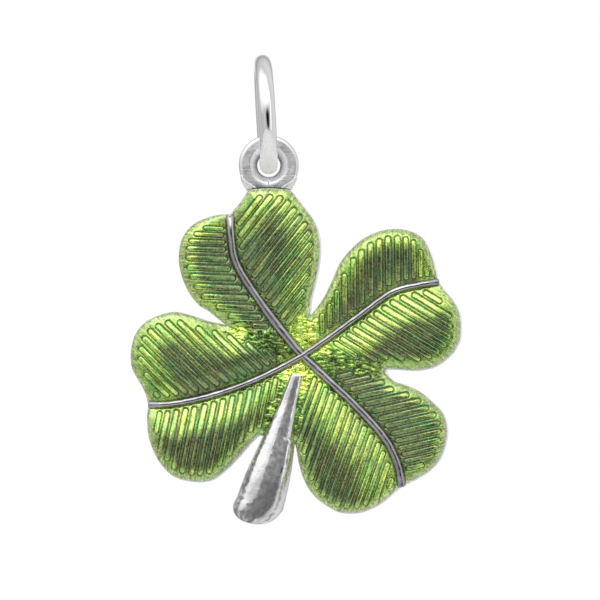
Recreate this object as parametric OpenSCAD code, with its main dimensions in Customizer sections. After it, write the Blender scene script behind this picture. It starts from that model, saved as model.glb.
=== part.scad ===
// Four leaf clover pendant: a cast silver clover with eight fields of ribbed green enamel,
// hung by its eyelet on a round jump ring. Millimetres, +Z up, the front faces -Y.
// The origin is the inside top of the jump ring, where the pendant hangs.

/* [Jump ring] */
// Outer diameter of the jump ring
ring_d = 6; // [5.4:0.1:7]
// Thickness of the ring's round wire
wire_d = 0.88; // [0.7:0.02:1]
// Lean of the hanging ring, its top to the left, in degrees
ring_lean = 3.4; // [0:0.2:6]
// Turn of the ring about the upright line, in degrees
ring_turn = 1.6; // [0:0.2:4]

/* [Eyelet] */
// Outer diameter of the eyelet
eyelet_d = 3; // [2.8:0.1:3.4]
// Thickness of the eyelet, front to back
eyelet_t = 1; // [0.8:0.1:1.2]
// Gap between the wire and the wall of the eyelet's hole
wire_gap = 0.12; // [0.08:0.01:0.2]
// Width of the bevel round each mouth of the hole
bevel_w = 0.3; // [0.1:0.05:0.4]
// Depth of that bevel
bevel_t = 0.25; // [0.1:0.05:0.3]
// Width of the neck that joins the eyelet to the top leaf
neck_w = 2.1; // [1.6:0.1:2.4]

/* [Leaves] */
// Length of a typical leaf along its midrib
leaf_len = 8; // [7.4:0.1:8.8]
// Full width of a typical leaf
leaf_w = 7.6; // [7:0.1:8]
// Thickness of the silver leaves at the rim
leaf_t = 1.1; // [0.9:0.1:1.4]
// Thickness of the silver floor under the enamel
floor_t = 0.65; // [0.4:0.05:0.7]
// Width of the bare silver rim round the enamel
rim_w = 0.14; // [0.1:0.02:0.2]

/* [Midribs] */
// Width of a silver midrib
midrib_w = 0.36; // [0.3:0.02:0.44]
// Height of a midrib above the rim
midrib_h = 0.24; // [0.1:0.02:0.4]

/* [Enamel] */
// Gap all round a field of enamel
enamel_gap = 0.02; // [0.01:0.01:0.04]
// Height of the pillowed enamel above the rim
crown_h = 0.5; // [0.3:0.05:0.7]
// Width of the rounded edge of the pillow
round_w = 1.2; // [0.8:0.1:1.6]
// Width of the smooth border between the ribs and the outer edge
border_w = 0.42; // [0.3:0.02:0.5]
// Height of a rib above the pillow
rib_h = 0.14; // [0.06:0.02:0.2]
// Pitch of the ribs
rib_pitch = 0.38; // [0.34:0.01:0.44]
// Width of the plain enamel next to the point where the midribs meet
plain_w = 1.2; // [1:0.1:1.6]

/* [Stem] */
// Length of the stem
stem_len = 7.8; // [7:0.1:8.4]
// Thickness of the stem where it is fullest
stem_d = 2.4; // [2.2:0.1:2.6]
// Tilt of the stem to the left of straight down, in degrees
stem_tilt = 16; // [13:0.5:18]
// Distance from the point where the midribs meet to the stem's upper end
stem_from = 0.98; // [0.8:0.02:1.2]
// Height of the stem's front above the rim, at its upper end
stem_top_h = 0.45; // [0.35:0.05:0.6]
// Height of the stem's front above the rim, where it is fullest
stem_low_h = 0.8; // [0.6:0.05:1]

/* [Hidden] */

silver = "silver";
green = "yellowgreen";

// The four leaves, in turn from the top one to the right
TOP = 0;
RIGHT = 1;
LOW = 2;
LEFT = 3;

// One row a leaf. Columns: direction in degrees, length as a share of leaf_len,
// widths of its left and right halves, seen from its base, as shares of leaf_w
ANGLE = 0;
LENGTH = 1;
LEFT_SHARE = 2;
RIGHT_SHARE = 3;
LEAVES = [
    [117.1, 0.99, 0.475, 0.475],
    [28.3, 0.97, 0.485, 0.485],
    [-53, 1.03, 0.513, 0.492],
    [-162.2, 1.01, 0.603, 0.539]
];

// Points of a half leaf's edge from the cleft to the tip. Columns: distance along the leaf
// as a share of its length, distance out from its axis as a share of the half's width.
// First the left halves, then the right halves, seen from the leaf's base.
LEFT_EDGES = [
    [[0.46, 0.82], [0.52, 0.88], [0.575, 0.955], [0.672, 1], [0.782, 0.99], [0.881, 0.93],
     [0.968, 0.815], [1.021, 0.68], [1.05, 0.5], [1.045, 0.29], [1.027, 0.125]],
    [[0.283, 0.534], [0.389, 0.69], [0.49, 0.854], [0.578, 0.94], [0.688, 1], [0.804, 0.992],
     [0.904, 0.925], [0.988, 0.798], [1.041, 0.631], [1.047, 0.455], [1.032, 0.24]],
    [[0.46, 0.746], [0.535, 0.85], [0.62, 0.94], [0.707, 0.98], [0.801, 1], [0.884, 0.932],
     [0.952, 0.804], [1.005, 0.633], [1.027, 0.438], [1.02, 0.226]],
    [[0.46, 0.742], [0.565, 0.855], [0.674, 0.953], [0.773, 1], [0.881, 0.951], [0.983, 0.835],
     [1.036, 0.662], [1.057, 0.49], [1.055, 0.301], [1.029, 0.121]]
];
RIGHT_EDGES = [
    [[0.284, 0.475], [0.362, 0.625], [0.448, 0.776], [0.545, 0.908], [0.641, 0.985], [0.723, 1],
     [0.808, 0.97], [0.902, 0.93], [0.961, 0.892], [1.08, 0.38], [1.04, 0.216], [1.018, 0.098]],
    [[0.447, 0.729], [0.522, 0.822], [0.62, 0.94], [0.733, 1], [0.853, 0.958], [0.942, 0.842],
     [0.991, 0.69], [1.024, 0.52], [1.027, 0.338], [1.009, 0.149]],
    [[0.42, 0.805], [0.525, 0.92], [0.63, 0.993], [0.734, 1], [0.83, 0.94], [0.907, 0.85],
     [0.973, 0.658], [1.001, 0.463], [1.009, 0.283], [1.004, 0.123]],
    [[0.488, 0.751], [0.583, 0.888], [0.671, 0.983], [0.779, 1], [0.876, 0.959], [0.954, 0.842],
     [1.007, 0.657], [1.026, 0.478], [1.009, 0.3], [0.995, 0.15]]
];

// Bow of each midrib to its left, columns as shares of the leaf's length: along, aside
BOWS = [
    [[0.2, 0.045], [0.45, 0.085], [0.7, 0.105], [0.86, 0.061]],
    [[0.2, 0.02], [0.44, 0.053], [0.7, 0.085], [0.87, 0.046]],
    [[0.2, 0.036], [0.45, 0.078], [0.7, 0.098], [0.88, 0.062]],
    [[0.2, 0.037], [0.42, 0.06], [0.66, 0.06], [0.86, 0.036]]
];

// Bottom of the cleft on the left and on the right of each leaf, seen from its base.
// Columns: direction in degrees, distance from the middle as a share of leaf_len
LEFT_CLEFTS = [[158.2, 0.516], [77.6, 0.2625], [-11.5, 0.541], [-118, 0.568]];
RIGHT_CLEFTS = [[77.6, 0.2625], [-11.5, 0.541], [-95.4, 0.548], [158.2, 0.516]];

// Lean of the ribs from the leaf's axis, in degrees, on its left and right halves
LEFT_RIBS = [61, 61.7, 62, 63.2];
RIGHT_RIBS = [66, 62.3, 56, 65.8];

// Place of the eyelet in the top leaf: share of the leaf's length along, share of the
// right half's width out
EYELET_ALONG = 1.1635;
EYELET_OUT = 0.785;

// Stem from its upper end. Columns: share of stem_len, share of stem_d
STEM = [[0, 0.23], [0.175, 0.37], [0.416, 0.62], [0.587, 0.81], [0.7, 0.92], [0.8, 0.98],
        [0.86, 1]];
// Share of the stem's length where its rounded end starts, and how blunt that end is
stem_end = 0.86;
stem_blunt = 2.4;

// Levels of the clover lying face up, with the eyelet's middle at 0
back_z = -leaf_t / 2;
floor_z = back_z + floor_t;
rim_z = leaf_t / 2;

// The left half of a leaf has side 1 and the right half side -1
function leaf_length(leaf) = LEAVES[leaf][LENGTH] * leaf_len;
function half_width(leaf, side) = LEAVES[leaf][side > 0 ? LEFT_SHARE : RIGHT_SHARE] * leaf_w;
function edge_rows(leaf, side) = side > 0 ? LEFT_EDGES[leaf] : RIGHT_EDGES[leaf];
function cleft(leaf, side) = side > 0 ? LEFT_CLEFTS[leaf] : RIGHT_CLEFTS[leaf];
function rib_lean(leaf, side) = side > 0 ? LEFT_RIBS[leaf] : RIGHT_RIBS[leaf];

// Smooth curve through a list of points, with a number of steps between each two
function spline_point(a, b, c, d, t) =
    0.5 * (2 * b + (c - a) * t + (2 * a - 5 * b + 4 * c - d) * t * t
           + (3 * b - a - 3 * c + d) * t * t * t);
function spline(points, steps) = let (last = len(points) - 1) [
    for (i = [0 : last - 1])
        let (before = points[max(i - 1, 0)], after = points[min(i + 2, last)])
            for (s = [0 : steps - 1])
                spline_point(before, points[i], points[i + 1], after, s / steps),
    points[last]
];

// A half leaf is worked out with its leaf's axis along X and the half on the +Y side

// Bottom of the cleft beside a half leaf
function cleft_point(leaf, side) =
    let (row = cleft(leaf, side), turn = side * (row[0] - LEAVES[leaf][ANGLE]),
         reach = row[1] * leaf_len)
        [reach * cos(turn), reach * sin(turn)];

// Edge of a half leaf from the cleft to the tip, moved inwards by a margin. Its two ends
// move straight towards the middle of the clover.
function unit(v) = v / norm(v);
function turned_left(v) = [-v[1], v[0]];
function moved(line, margin) = let (last = len(line) - 1) [
    for (i = [0 : last])
        line[i] + margin * turned_left(unit(line[min(i + 1, last)] - line[max(i - 1, 0)]))];
function half_edge(leaf, side, margin) =
    let (edge = spline(concat(
             [cleft_point(leaf, side)],
             [for (row = edge_rows(leaf, side))
                 [row[0] * leaf_length(leaf), row[1] * half_width(leaf, side)]],
             [[leaf_length(leaf), 0]]), edge_steps),
         last = len(edge) - 1, inside = moved(edge, -margin))
        [for (i = [0 : last])
            i == 0 || i == last ? edge[i] - margin * unit(edge[i]) : inside[i]];
edge_steps = 2;

// Middle line of a midrib, from the middle of the clover to the leaf's tip
function midrib_line(leaf, side) = spline(concat(
    [[0, 0]],
    [for (row = BOWS[leaf]) [row[0], side * row[1]] * leaf_length(leaf)],
    [[leaf_length(leaf), 0]]), edge_steps);

// From a half leaf's own frame to the clover's, whose middle is where the midribs meet
function in_clover(p, leaf, side) =
    let (turn = LEAVES[leaf][ANGLE])
        [p[0] * cos(turn) - side * p[1] * sin(turn), p[0] * sin(turn) + side * p[1] * cos(turn)];
// And back
function in_half(p, leaf, side) =
    let (turn = LEAVES[leaf][ANGLE])
        [p[0] * cos(turn) + p[1] * sin(turn), side * (p[1] * cos(turn) - p[0] * sin(turn))];
function reversed(list) = [for (i = [len(list) - 1 : -1 : 0]) list[i]];
function without_last(list) = [for (i = [0 : len(list) - 2]) list[i]];

// Outline of the clover, against the clock, moved inwards by a margin: each leaf's right
// half, then its left half. The stem covers the stretch between the two lowest halves.
function half_outline(leaf, side, margin) =
    let (edge = [for (p = half_edge(leaf, side, margin)) in_clover(p, leaf, side)])
        side > 0 ? reversed(edge) : edge;
function outline(margin) = [for (leaf = [TOP, LEFT, LOW, RIGHT]) each concat(
    without_last(half_outline(leaf, -1, margin)),
    leaf == LEFT ? half_outline(leaf, 1, margin)
                 : without_last(half_outline(leaf, 1, margin)))];

// Middle of the eyelet's hole in the clover's frame
EYELET = in_clover([EYELET_ALONG * leaf_length(TOP), EYELET_OUT * half_width(TOP, -1)], TOP, -1);

// Inside diameter of the jump ring, and the middle of its wire at the lowest point
ring_in_d = ring_d - 2 * wire_d;
wire_drop = ring_in_d + wire_d / 2;
hole_d = wire_d + 2 * wire_gap;

// Half thickness of the stem at a share of its length, with a blunt round end
function stem_half(share) = stem_d / 2 * (share < stem_end ? lookup(share, STEM)
    : pow(1 - pow((share - stem_end) / (1 - stem_end), stem_blunt), 1 / stem_blunt));
stem_turn = -90 - stem_tilt;
stem_shares = [0, 0.09, 0.18, 0.3, 0.42, 0.5, 0.59, 0.7, 0.8, 0.86, 0.9, 0.94, 0.97, 0.99, 1];

// Height of the stem's axis above the clover's middle level, at its two ends
stem_axis_top = rim_z + stem_top_h - stem_half(0);
stem_axis_low = rim_z + stem_low_h - stem_d / 2;
stem_pitch = atan((stem_axis_top - stem_axis_low) / (stem_len * stem_end));

// Share of the stem's length at which a leaf's edge meets it
function stem_meet(leaf, side) =
    (cleft(leaf, side)[1] * leaf_len * cos(cleft(leaf, side)[0] - stem_turn) - stem_from)
        / stem_len;
// Side of the stem in a half leaf's frame, from its upper end towards the leaf's edge
function stem_side(leaf, side) = [for (step = [0 : 0.25 : 1])
    let (share = step * stem_meet(leaf, side) * stem_reach,
         reach = stem_from + share * stem_len, out = stem_half(share) + enamel_gap,
         turn = stem_turn - 90 * side)
        in_half([reach * cos(stem_turn) + out * cos(turn),
                 reach * sin(stem_turn) + out * sin(turn)], leaf, side)];
stem_reach = 0.88;

// Field of enamel: its two long sides run from the middle of the clover to the leaf's tip

// Side of a field along the midrib, and its outer side along the cleft and the leaf's edge
function inner_side(leaf, side) = moved(midrib_line(leaf, side), midrib_w / 2 + enamel_gap);
function outer_side(leaf, side) = concat(
    [[0, 0]],
    leaf == LEFT && side > 0 || leaf == LOW && side < 0 ? stem_side(leaf, side) : [],
    half_edge(leaf, side, rim_w + enamel_gap));

// The same in the ribs' frame. Columns: distance across the ribs, distance along them
function across_ribs(points, lean) = [for (p = points)
    [p[0] * sin(lean) - p[1] * cos(lean), p[0] * cos(lean) + p[1] * sin(lean)]];
function from_ribs(across, along, lean) =
    [along * cos(lean) + across * sin(lean), along * sin(lean) - across * cos(lean)];

// Places where a row crosses a side of the field, from the middle of the clover outwards
function crossings(side_line, row) = [for (i = [1 : len(side_line) - 1])
    let (a = side_line[i - 1], b = side_line[i])
        if (min(a[0], b[0]) <= row && row < max(a[0], b[0]))
            a[1] + (b[1] - a[1]) * (row - a[0]) / (b[0] - a[0])];

// Distance from a point to a line of points
function to_stretch(p, a, b) =
    let (ab = b - a, share = (p - a) * ab / (ab * ab))
        norm(p - a - ab * max(0, min(1, share)));
function to_line(p, line) = min([for (i = [1 : len(line) - 1]) to_stretch(p, line[i - 1], line[i])]);

// Height of the pillow, as a share of crown_h, at a distance from the field's edge
function pillow(distance) = sqrt(1 - pow(1 - min(1, distance / round_w), 2));

// Cross-section of a rib. Columns: share of the pitch, share of the height
RIB = [[0, 0], [0.2, 0.8], [0.5, 1], [0.8, 0.8]];
// Ends of the ribs. Narrow strip next to the midrib, and length of a rib's rounded end
strip_w = 0.1;
rib_end = 0.14;
// Narrowest row, and a step for finding where the rows start and end
row_w = 0.14;
row_step = 0.02;

// Places of a row's points along the ribs, and the share of the ribs' height there.
// A row too short for its ends has them shortened.
function row_points(length) =
    let (ends = strip_w + 2 * rib_end + border_w, k = min(1, length / (ends + rib_end)),
         from = k * (strip_w + rib_end), to = length - k * (border_w + rib_end))
        concat([[0, 0], [k * strip_w, 0], [from, k]],
               [for (share = [0.25, 0.5, 0.75]) [from + (to - from) * share, k]],
               [[to, k], [length - k * border_w, 0], [length, 0]]);

// Points of a field's top, row by row: [along the leaf, out, height]
function field_rows(leaf, side) =
    let (lean = rib_lean(leaf, side),
         inner = inner_side(leaf, side), outer = outer_side(leaf, side),
         inner_x = across_ribs(inner, lean), outer_x = across_ribs(outer, lean),
         whole = leaf_length(leaf) * sin(lean),
         wide = [for (t = [0 : row_step : whole])
             let (from = crossings(inner_x, t), to = crossings(outer_x, t))
                 if (len(from) == 1 && len(to) == 1 && to[0] - from[0] > row_w + 2 * enamel_gap)
                     t],
         start = min(wide), end = max(wide),
         count = floor((end - start - plain_w) / rib_pitch),
         first = end - count * rib_pitch,
         rows = concat(
             [for (i = [0 : 3]) [start + (first - start) * i / 4, 0]],
             [for (i = [0 : count - 1]) each [for (r = RIB) [first + (i + r[0]) * rib_pitch, r[1]]]],
             [[end, 0]]))
        [for (row = rows)
            let (from = crossings(inner_x, row[0])[0] + enamel_gap,
                 to = crossings(outer_x, row[0])[0] - enamel_gap)
                [for (q = row_points(to - from))
                    let (p = from_ribs(row[0], from + q[0], lean),
                         edge = min(to_line(p, inner), to_line(p, outer)))
                        [p[0], p[1], rim_z + (q[0] == 0 || q[0] == to - from ? 0
                            : crown_h * pillow(edge) + rib_h * row[1] * q[1])]]];

// Closed solid between a grid of top points and a flat base
module relief(grid, base_z) {
    rows = len(grid);
    cols = len(grid[0]);
    top = [for (row = grid) each row];
    rim = concat([for (i = [0 : cols - 1]) i],
                 [for (j = [1 : rows - 1]) j * cols + cols - 1],
                 [for (i = [cols - 2 : -1 : 0]) (rows - 1) * cols + i],
                 [for (j = [rows - 2 : -1 : 1]) j * cols]);
    count = len(top);
    around = len(rim);
    base = [for (k = rim) [top[k][0], top[k][1], base_z]];
    top_faces = [for (j = [0 : rows - 2], i = [0 : cols - 2], half = [0, 1])
        let (a = j * cols + i)
            half == 0 ? [a, a + 1, a + cols + 1] : [a, a + cols + 1, a + cols]];
    wall_faces = [for (k = [0 : around - 1], half = [0, 1])
        let (next = (k + 1) % around)
            half == 0 ? [rim[next], rim[k], count + k] : [rim[next], count + k, count + next]];
    // The base in strips from row to row. The first and last ones meet every point of their row.
    base_faces = concat(
        [for (k = [0 : cols - 1]) [k + 1, k, around - 1]],
        [for (j = [1 : rows - 3]) [around - j - 1, cols + j, cols + j - 1, around - j]],
        [for (k = [cols + rows - 3 : 2 * cols + rows - 4]) [k + 1, k, around - rows + 2]]);
    polyhedron(concat(top, base),
               concat(top_faces, wall_faces, [for (f = base_faces) [for (k = f) count + k]]));
}

// A vein runs through the middle from one leaf's tip to the opposite one's. Cross-section
// columns: share of midrib_w aside, share of midrib_h above the rim (base points excepted)
VEIN = [[-0.5, 0], [-0.36, 0.66], [0, 1], [0.36, 0.66], [0.5, 0]];
vein_tip = 0.5;
function vein_line(from, to) = concat(
    reversed([for (p = midrib_line(from, 1)) in_clover(p, from, 1)]),
    [for (i = [1 : len(midrib_line(to, 1)) - 1]) in_clover(midrib_line(to, 1)[i], to, 1)]);
function vein_width(i, last) = midrib_w * (i == 0 || i == last ? vein_tip : 1);

module vein(from, to) {
    line = vein_line(from, to);
    last = len(line) - 1;
    section = concat([[-0.5, floor_z - floor_t / 2]],
                     [for (v = VEIN) [v[0], rim_z + v[1] * midrib_h]],
                     [[0.5, floor_z - floor_t / 2]]);
    sides = len(section);
    points = [for (i = [0 : last])
        let (aside = turned_left(unit(line[min(i + 1, last)] - line[max(i - 1, 0)])))
            each [for (s = section)
                let (p = line[i] + aside * s[0] * vein_width(i, last)) [p[0], p[1], s[1]]]];
    walls = [for (i = [0 : last - 1], k = [0 : sides - 1], half = [0, 1])
        let (a = i * sides + k, b = i * sides + (k + 1) % sides)
            half == 0 ? [a, b, b + sides] : [a, b + sides, a + sides]];
    polyhedron(points, concat(walls, [[for (k = [sides - 1 : -1 : 0]) k]],
                              [[for (k = [0 : sides - 1]) last * sides + k]]));
}

// Stem: turned round its own axis, flat at the back, with a foot down to the leaves' floor
module stem() {
    profile = concat([[0, 0]],
                     [for (s = stem_shares) [stem_half(s), -s * stem_len]]);
    foot_shares = [0, 0.09, 0.18, 0.3, 0.42];
    rotate([0, 0, stem_turn]) {
        difference() {
            translate([stem_from, 0, stem_axis_top])
                rotate([0, -90 + stem_pitch, 0])
                    rotate_extrude($fn = 64) polygon(profile);
            translate([stem_from, -stem_d, back_z - stem_d])
                cube([stem_len + stem_d, 2 * stem_d, stem_d]);
        }
        translate([0, 0, back_z + floor_t / 2])
            linear_extrude(rim_z - back_z - floor_t / 2)
                polygon(concat(
                    [for (s = foot_shares) [stem_from + s * stem_len, stem_half(s)]],
                    [for (s = reversed(foot_shares)) [stem_from + s * stem_len, -stem_half(s)]]));
    }
}

// Eyelet with its neck, centred on the hole
module eyelet_blank() {
    translate([0, 0, -eyelet_t / 2]) {
        cylinder(d = eyelet_d, h = eyelet_t, $fn = 96);
        translate([-neck_w / 2, -eyelet_d / 2, 0])
            cube([neck_w, eyelet_d / 2, eyelet_t]);
    }
}
module eyelet_hole() {
    translate([0, 0, -eyelet_t])
        cylinder(d = hole_d, h = 2 * eyelet_t, $fn = 96);
    for (face = [0, 1])
        mirror([0, 0, face])
            translate([0, 0, eyelet_t / 2 - bevel_t])
                cylinder(r1 = hole_d / 2, r2 = hole_d / 2 + 2 * bevel_w, h = 2 * bevel_t, $fn = 96);
}

// Stands the clover up from lying on its back, and hangs its eyelet on the ring's wire
module hung() {
    translate([wire_drop * sin(ring_lean), 0, -wire_drop * cos(ring_lean)])
        rotate([90, 0, 0])
            children();
}
module at_middle() {
    translate([-EYELET[0], -EYELET[1], 0])
        children();
}

module clover_casting() {
    color(silver) hung() union() {
        difference() {
            union() {
                at_middle()
                    translate([0, 0, back_z])
                        linear_extrude(leaf_t) polygon(outline(0));
                eyelet_blank();
            }
            at_middle()
                translate([0, 0, floor_z])
                    linear_extrude(2 * leaf_t) polygon(outline(rim_w));
            eyelet_hole();
        }
        at_middle() {
            vein(LOW, TOP);
            vein(LEFT, RIGHT);
            stem();
        }
    }
}

module enamel(leaf, side) {
    color(green) hung() at_middle()
        rotate([0, 0, LEAVES[leaf][ANGLE]])
            mirror([0, side > 0 ? 0 : 1, 0])
                relief(field_rows(leaf, side), floor_z + enamel_gap);
}

module jump_ring() {
    color(silver) rotate([0, -ring_lean, 0])
        translate([0, 0, -ring_in_d / 2])
            rotate([0, 90, ring_turn])
                rotate_extrude($fn = 96)
                    translate([(ring_d - wire_d) / 2, 0]) circle(d = wire_d, $fn = 48);
}

clover_casting();
enamel(TOP, 1);  // top_leaf_left_enamel
enamel(TOP, -1);  // top_leaf_right_enamel
enamel(RIGHT, 1);  // right_leaf_upper_enamel
enamel(RIGHT, -1);  // right_leaf_lower_enamel
enamel(LOW, 1);  // low_leaf_right_enamel
enamel(LOW, -1);  // low_leaf_lower_enamel
enamel(LEFT, 1);  // left_leaf_lower_enamel
enamel(LEFT, -1);  // left_leaf_upper_enamel
jump_ring();
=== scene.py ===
from math import copysign, cos, pi, radians, sin, sqrt

import bmesh
import bpy
import numpy as np
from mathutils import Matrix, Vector
from mathutils.geometry import delaunay_2d_cdt
from mathutils.noise import noise


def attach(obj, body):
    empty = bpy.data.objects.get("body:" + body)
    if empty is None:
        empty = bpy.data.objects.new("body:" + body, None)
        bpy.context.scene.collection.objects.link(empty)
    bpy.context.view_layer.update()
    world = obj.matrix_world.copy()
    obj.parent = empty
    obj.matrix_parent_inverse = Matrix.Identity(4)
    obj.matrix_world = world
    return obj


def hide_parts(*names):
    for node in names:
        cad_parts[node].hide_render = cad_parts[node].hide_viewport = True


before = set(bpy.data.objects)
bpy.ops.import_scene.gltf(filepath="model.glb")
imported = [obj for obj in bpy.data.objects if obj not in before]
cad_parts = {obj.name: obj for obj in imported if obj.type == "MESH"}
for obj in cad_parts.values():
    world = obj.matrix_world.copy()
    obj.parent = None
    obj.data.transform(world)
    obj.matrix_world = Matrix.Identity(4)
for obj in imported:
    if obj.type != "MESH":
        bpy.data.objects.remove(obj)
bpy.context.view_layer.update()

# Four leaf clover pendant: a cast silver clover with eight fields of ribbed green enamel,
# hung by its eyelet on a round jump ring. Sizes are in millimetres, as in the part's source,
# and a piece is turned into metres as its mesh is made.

MM = 0.001

# Jump ring
RING_D = 6.0
WIRE_D = 0.88
RING_LEAN = radians(3.4)
RING_TURN = radians(1.6)

# Eyelet
EYELET_D = 3.0
EYELET_T = 1.0
HOLE_D = 1.12
BEVEL_W = 0.3
BEVEL_T = 0.25

# Leaves
LEAF_LEN = 8.0
LEAF_W = 7.6
LEAF_T = 1.1
FLOOR_T = 0.65
RIM_W = 0.14

# Midribs
MIDRIB_W = 0.36
MIDRIB_H = 0.24

# Enamel
GAP = 0.02
CROWN_H = 0.5
VALLEY = 0.05
RIB_H = 0.08
RIPPLE_H = 0.055
STRIP_W = 0.16
ENAMEL_EDGE = 0.012
RIM_SHOWN = 0.08

# Stem
STEM_LEN = 7.8
STEM_D = 2.4
STEM_TILT = 16
STEM_FROM = 0.98
STEM_TOP_H = 0.45
STEM_LOW_H = 0.8

# Levels of the clover lying face up, with the eyelet's middle at 0
BACK_Z = -LEAF_T / 2
FLOOR_Z = BACK_Z + FLOOR_T
RIM_Z = LEAF_T / 2
# How far the backs of the stem and the neck lie inside the clover's back
BACK_IN = 0.01

# The four leaves, in turn from the top one to the right
TOP, RIGHT, LOW, LEFT = range(4)

# Columns: direction in degrees, length as a share of LEAF_LEN, widths of the left and right
# halves, seen from the leaf's base, as shares of LEAF_W
LEAVES = [
    (117.1, 0.99, 0.475, 0.475),
    (28.3, 0.97, 0.485, 0.485),
    (-53, 1.03, 0.513, 0.492),
    (-162.2, 1.01, 0.603, 0.539),
]

# Edge of a half leaf from the cleft to the tip. Columns: distance along the leaf as a share
# of its length, distance out from its axis as a share of the half's width.
LEFT_SIDES = [
    [(0.46, 0.82), (0.52, 0.88), (0.575, 0.955), (0.672, 1), (0.782, 0.99), (0.881, 0.93),
     (0.968, 0.815), (1.021, 0.68), (1.05, 0.5), (1.045, 0.29), (1.027, 0.125)],
    [(0.283, 0.534), (0.389, 0.69), (0.49, 0.854), (0.578, 0.94), (0.688, 1), (0.804, 0.992),
     (0.904, 0.925), (0.988, 0.798), (1.041, 0.631), (1.047, 0.455), (1.032, 0.24)],
    [(0.46, 0.746), (0.535, 0.85), (0.62, 0.94), (0.707, 0.98), (0.801, 1), (0.884, 0.932),
     (0.952, 0.804), (1.005, 0.633), (1.027, 0.438), (1.02, 0.226)],
    [(0.46, 0.742), (0.565, 0.855), (0.674, 0.953), (0.773, 1), (0.881, 0.951), (0.983, 0.835),
     (1.036, 0.662), (1.057, 0.49), (1.055, 0.301), (1.029, 0.121)],
]
RIGHT_SIDES = [
    [(0.284, 0.475), (0.362, 0.625), (0.448, 0.776), (0.545, 0.908), (0.641, 0.985), (0.723, 1),
     (0.808, 0.97), (0.902, 0.93), (0.961, 0.892), (1.001, 0.774), (1.036, 0.649),
     (1.062, 0.515), (1.08, 0.38), (1.04, 0.216), (1.018, 0.098)],
    [(0.447, 0.729), (0.522, 0.822), (0.62, 0.94), (0.733, 1), (0.853, 0.958), (0.942, 0.842),
     (0.991, 0.69), (1.024, 0.52), (1.027, 0.338), (1.009, 0.149)],
    [(0.42, 0.805), (0.525, 0.92), (0.63, 0.993), (0.734, 1), (0.83, 0.94), (0.907, 0.85),
     (0.973, 0.658), (1.001, 0.463), (1.009, 0.283), (1.004, 0.123)],
    [(0.488, 0.751), (0.583, 0.888), (0.671, 0.983), (0.779, 1), (0.876, 0.959), (0.954, 0.842),
     (1.007, 0.657), (1.026, 0.478), (1.009, 0.3), (0.995, 0.15)],
]

# A half's side is 1 on the left and -1 on the right
EDGES = {1: LEFT_SIDES, -1: RIGHT_SIDES}

# Bow of each midrib to its left. Columns, as shares of the leaf's length: along, aside
BOWS = [
    [(0.2, 0.045), (0.45, 0.085), (0.7, 0.105), (0.86, 0.061)],
    [(0.2, 0.02), (0.44, 0.053), (0.7, 0.085), (0.87, 0.046)],
    [(0.2, 0.036), (0.45, 0.078), (0.7, 0.098), (0.88, 0.062)],
    [(0.2, 0.037), (0.42, 0.06), (0.66, 0.06), (0.86, 0.036)],
]

# Bottom of the cleft on the left and on the right of each leaf. Columns: direction in
# degrees, distance from the middle as a share of LEAF_LEN
CLEFTS = {1: [(158.2, 0.516), (77.6, 0.2625), (-11.5, 0.541), (-118, 0.568)],
          -1: [(77.6, 0.2625), (-11.5, 0.541), (-95.4, 0.548), (158.2, 0.516)]}

# The eight fields of enamel. Columns: piece, CAD node, leaf, side (1 left, -1 right), lean of
# the ribs from the leaf's axis in degrees, width of the smooth border, width of the slope next
# to the midrib and of the slope next to the edge, distance of each rib from the clover's middle
FIELDS = [
    ("enamel_top_left", "top_leaf_left_enamel", TOP, 1, 61, 0.34, 2.2, 0.9,
     (1.4, 1.85, 2.3, 2.78, 3.26, 3.74, 4.2, 4.67, 5.14, 5.5, 5.87, 6.19)),
    ("enamel_top_right", "top_leaf_right_enamel", TOP, -1, 65.5, 0.33, 1.5, 1.9,
     (1.59, 1.96, 2.3, 2.69, 3.13, 3.54, 3.94, 4.36, 4.81, 5.27, 5.72, 6.15, 6.54)),
    ("enamel_right_upper", "right_leaf_upper_enamel", RIGHT, 1, 62.5, 0.32, 2.4, 0.9,
     (1.02, 1.39, 1.77, 2.15, 2.61, 3.01, 3.47, 3.91, 4.35, 4.82, 5.24, 5.62, 5.96, 6.28)),
    ("enamel_right_lower", "right_leaf_lower_enamel", RIGHT, -1, 60, 0.4, 1.8, 1.4,
     (1.39, 1.74, 2.11, 2.48, 2.89, 3.28, 3.7, 4.16, 4.61, 5.07, 5.5, 5.9)),
    ("enamel_low_right", "low_leaf_right_enamel", LOW, 1, 65.8, 0.28, 2.2, 0.9,
     (1.43, 1.8, 2.2, 2.63, 3.07, 3.5, 3.93, 4.35, 4.8, 5.2, 5.59, 5.93, 6.28, 6.66)),
    ("enamel_low_lower", "low_leaf_lower_enamel", LOW, -1, 56.8, 0.2, 2.4, 1.1,
     (0.99, 1.33, 1.7, 2.07, 2.48, 2.89, 3.31, 3.72, 4.16, 4.63, 5.09, 5.46, 5.87, 6.3)),
    ("enamel_left_lower", "left_leaf_lower_enamel", LEFT, 1, 61, 0.28, 2.0, 1.1,
     (1.07, 1.43, 1.8, 2.2, 2.61, 3.0, 3.43, 3.85, 4.28, 4.74, 5.17, 5.6, 6.02, 6.41, 6.74)),
    ("enamel_left_upper", "left_leaf_upper_enamel", LEFT, -1, 62.3, 0.36, 1.4, 1.9,
     (1.15, 1.5, 1.89, 2.26, 2.67, 3.11, 3.54, 4.0, 4.46, 4.91, 5.39, 5.76, 6.13, 6.48)),
]

# Painted highlight of each field, in the same order. Columns: how far that reaches from the
# midrib and how light it is there, how far it reaches from the edge and how light
PAINTED_LIGHT = [
    (0, 0, 0.85, 0.8), (0, 0, 1.5, 0.6), (0.5, 0.25, 0.95, 1), (1.5, 0.95, 0.6, 0.7),
    (0.3, 0.1, 0.6, 0.5), (2.0, 0.8, 0.5, 0.6), (1.4, 0.8, 0.6, 0.6), (0, 0, 1.5, 0.9),
]
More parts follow.
